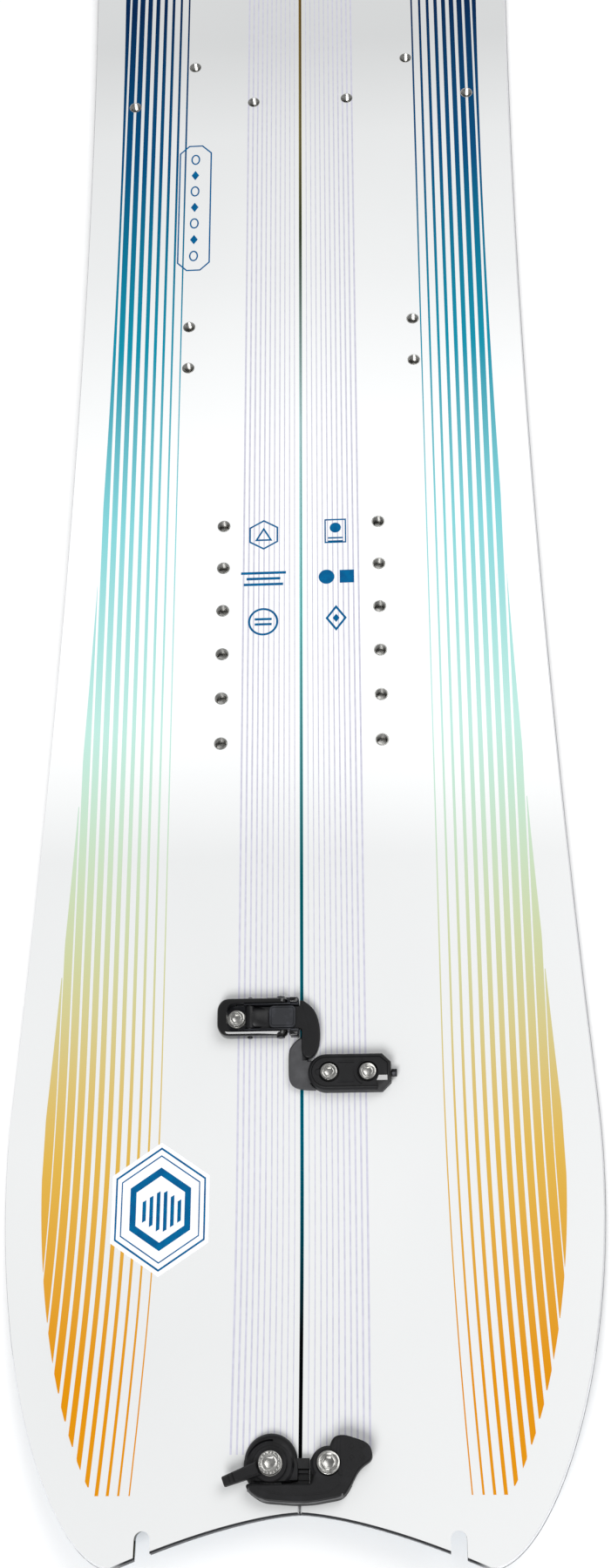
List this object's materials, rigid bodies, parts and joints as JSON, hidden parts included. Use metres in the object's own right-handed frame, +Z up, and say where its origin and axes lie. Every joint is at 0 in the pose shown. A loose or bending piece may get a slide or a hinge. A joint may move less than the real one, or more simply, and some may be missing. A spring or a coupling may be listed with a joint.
{
  "type": "splitboard",
  "caption": "Snowboard that parts lengthwise into two halves, joined by lever clips and tip clips across the seam, with threaded inserts, steel edges and a scooped tail.",
  "frame": {"origin": "on the seam at mid length, on the running surface", "axes": "+Y to the nose along the seam, +X to the right across the board, +Z up out of the topsheet"},
  "size_m": [0.2922, 1.56, 0.0614],
  "materials": {
    "topsheet": "satin white with printed coloured stripes",
    "laminate": "resin and glass fibre",
    "wood_core": "light wood strips",
    "sidewall": "dark plastic, milled",
    "seam_sidewall": "plastic, coloured along the seam",
    "tip_spacer": "dark plastic",
    "running_base": "sintered, structured",
    "edge_steel": "ground",
    "insert_steel": "stainless, threaded",
    "clip_alloy": "black anodised",
    "lever_black": "gloss black plating",
    "hook_black": "satin black",
    "hook_grey": "satin dark grey",
    "pad": "textured",
    "clip_plastic": "glass filled nylon",
    "screw_steel": "stainless"
  },
  "bodies": {
    "left_half": {"left_topsheet": "topsheet", "left_top_laminate": "laminate", "left_core": "wood_core", "left_outer_sidewall": "sidewall", "left_seam_sidewall": "seam_sidewall", "left_nose_spacer": "tip_spacer", "left_tail_spacer": "tip_spacer", "left_bottom_laminate": "laminate", "left_base": "running_base", "left_steel_edge": "edge_steel", "left_inserts": "insert_steel", "rear_clip_base": "clip_alloy", "rear_clip_bolt": "screw_steel", "rear_lever_rivets": "screw_steel", "rear_hook_pin": "screw_steel", "front_catch_casing": "clip_plastic", "front_catch_screws": "screw_steel", "tail_cam_housing": "clip_plastic", "tail_cam_screw": "screw_steel", "nose_arm_base": "clip_plastic", "nose_arm_screw": "screw_steel"},
    "right_half": {"right_topsheet": "topsheet", "right_top_laminate": "laminate", "right_core": "wood_core", "right_outer_sidewall": "sidewall", "right_seam_sidewall": "seam_sidewall", "right_nose_spacer": "tip_spacer", "right_tail_spacer": "tip_spacer", "right_bottom_laminate": "laminate", "right_base": "running_base", "right_steel_edge": "edge_steel", "right_inserts": "insert_steel", "front_clip_base": "clip_alloy", "front_clip_bolt": "screw_steel", "front_lever_rivets": "screw_steel", "front_hook_pin": "screw_steel", "rear_catch_casing": "clip_plastic", "rear_catch_screws": "screw_steel", "tail_arm_base": "clip_plastic", "tail_arm_screw": "screw_steel", "nose_cam_housing": "clip_plastic", "nose_cam_screw": "screw_steel"},
    "rear_lever": {"rear_lever": "lever_black"},
    "rear_draw_hook": {"rear_draw_hook": "hook_black", "rear_hook_pad": "pad"},
    "rear_catch_hook": {"rear_catch_hook": "hook_grey"},
    "rear_adjuster": {"rear_adjuster_screw": "clip_alloy"},
    "front_lever": {"front_lever": "lever_black"},
    "front_draw_hook": {"front_draw_hook": "hook_black", "front_hook_pad": "pad"},
    "front_catch_hook": {"front_catch_hook": "hook_grey"},
    "front_adjuster": {"front_adjuster_screw": "clip_alloy"},
    "tail_cam_lever": {"tail_cam_lever": "clip_plastic"},
    "tail_hook_arm": {"tail_hook_arm": "clip_plastic"},
    "nose_cam_lever": {"nose_cam_lever": "clip_plastic"},
    "nose_hook_arm": {"nose_hook_arm": "clip_plastic"}
  },
  "joints": [
    {"name": "half_split", "type": "slide", "parent": "left_half", "child": "right_half", "axis": [1, 0, 0], "range_m": [0, 0.04]},
    {"name": "rear_lever_lift", "type": "hinge", "parent": "left_half", "child": "rear_lever", "pos_m": [-0.0098, -0.534, 0.012], "axis": [0, 1, 0], "range_deg": [0, 100]},
    {"name": "rear_hook_flip", "type": "hinge", "parent": "left_half", "child": "rear_draw_hook", "pos_m": [-0.0247, -0.534, 0.012], "axis": [0, -1, 0], "range_deg": [0, 90]},
    {"name": "rear_adjuster_turn", "type": "hinge", "parent": "right_half", "child": "rear_adjuster", "pos_m": [0.0428, -0.5615, 0.00985], "axis": [1, 0, 0], "range_deg": [0, 720]},
    {"name": "rear_catch_slide", "type": "slide", "parent": "right_half", "child": "rear_catch_hook", "axis": [-1, 0, 0], "range_m": [0, 0.0016]},
    {"name": "front_lever_lift", "type": "hinge", "parent": "right_half", "child": "front_lever", "pos_m": [0.0098, 0.47, 0.012], "axis": [0, -1, 0], "range_deg": [0, 100]},
    {"name": "front_hook_flip", "type": "hinge", "parent": "right_half", "child": "front_draw_hook", "pos_m": [0.0247, 0.47, 0.012], "axis": [0, 1, 0], "range_deg": [0, 90]},
    {"name": "front_adjuster_turn", "type": "hinge", "parent": "left_half", "child": "front_adjuster", "pos_m": [-0.0428, 0.4975, 0.00985], "axis": [-1, 0, 0], "range_deg": [0, 720]},
    {"name": "front_catch_slide", "type": "slide", "parent": "left_half", "child": "front_catch_hook", "axis": [1, 0, 0], "range_m": [0, 0.0016]},
    {"name": "tail_cam_turn", "type": "hinge", "parent": "left_half", "child": "tail_cam_lever", "pos_m": [-0.0127, -0.738, 0.02422], "axis": [0, -0.1736, -0.9848], "range_deg": [0, 80]},
    {"name": "tail_arm_swing", "type": "hinge", "parent": "right_half", "child": "tail_hook_arm", "pos_m": [0.0127, -0.738, 0.02422], "axis": [0, 0.1736, 0.9848], "range_deg": [0, 72]},
    {"name": "nose_cam_turn", "type": "hinge", "parent": "right_half", "child": "nose_cam_lever", "pos_m": [0.0127, 0.74, 0.04968], "axis": [0, 0.2756, -0.9613], "range_deg": [0, 80]},
    {"name": "nose_arm_swing", "type": "hinge", "parent": "left_half", "child": "nose_hook_arm", "pos_m": [-0.0127, 0.74, 0.04968], "axis": [0, -0.2756, 0.9613], "range_deg": [0, 72]}
  ],
  "couplings": [
    {"joint": "rear_hook_flip", "follows": "half_split", "rad_per_m": 39},
    {"joint": "rear_adjuster_turn", "follows": "rear_catch_slide", "rad_per_m": 7854},
    {"joint": "front_hook_flip", "follows": "half_split", "rad_per_m": 39},
    {"joint": "front_adjuster_turn", "follows": "front_catch_slide", "rad_per_m": 7854}
  ]
}
